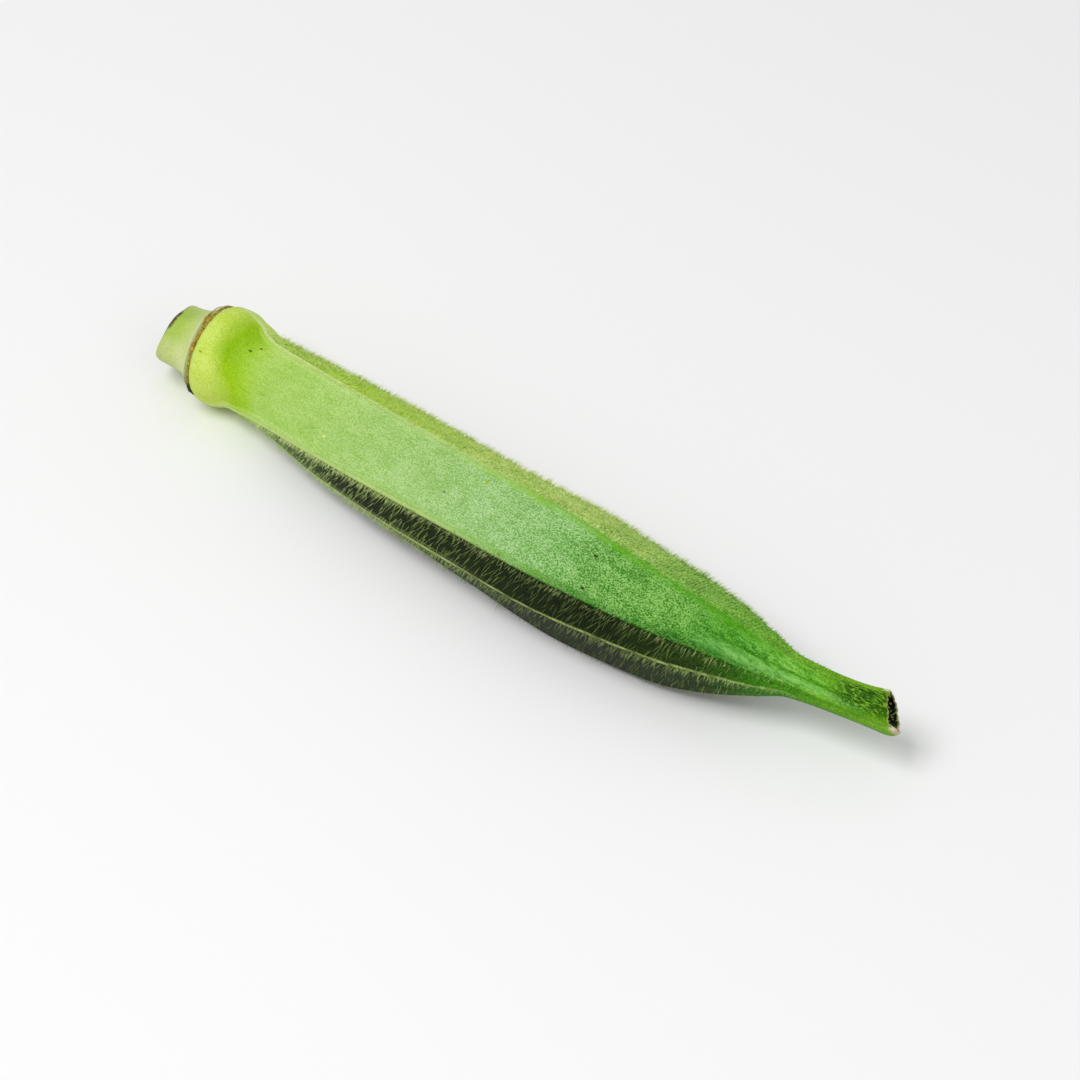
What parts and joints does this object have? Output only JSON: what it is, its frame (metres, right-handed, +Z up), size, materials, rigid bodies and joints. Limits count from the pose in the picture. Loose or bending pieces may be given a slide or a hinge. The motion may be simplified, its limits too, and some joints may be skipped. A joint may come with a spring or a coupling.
{
  "type": "okra pod",
  "caption": "Whole fresh okra pod lying on its side: a ridged, tapering green pod with a rounded cap, a short cut stalk and a slim beak with a dry, hollow tip.",
  "frame": {"origin": "under the middle of the whole pod, on the surface that it lies on", "axes": "+X along the pod from the stalk to the beak, +Z up, -Y to the side that the pod bows towards"},
  "size_m": [0.1326, 0.0212, 0.0173],
  "materials": {
    "pod_skin": "satin, covered in fine hairs",
    "stalk_skin": "matte",
    "dry_ring": "dry, rough",
    "dry_tip": "dry, rough"
  },
  "bodies": {
    "root": {"pod": "pod_skin", "stalk": "stalk_skin", "calyx_scar": "dry_ring", "tip_scar": "dry_tip"}
  },
  "joints": []
}
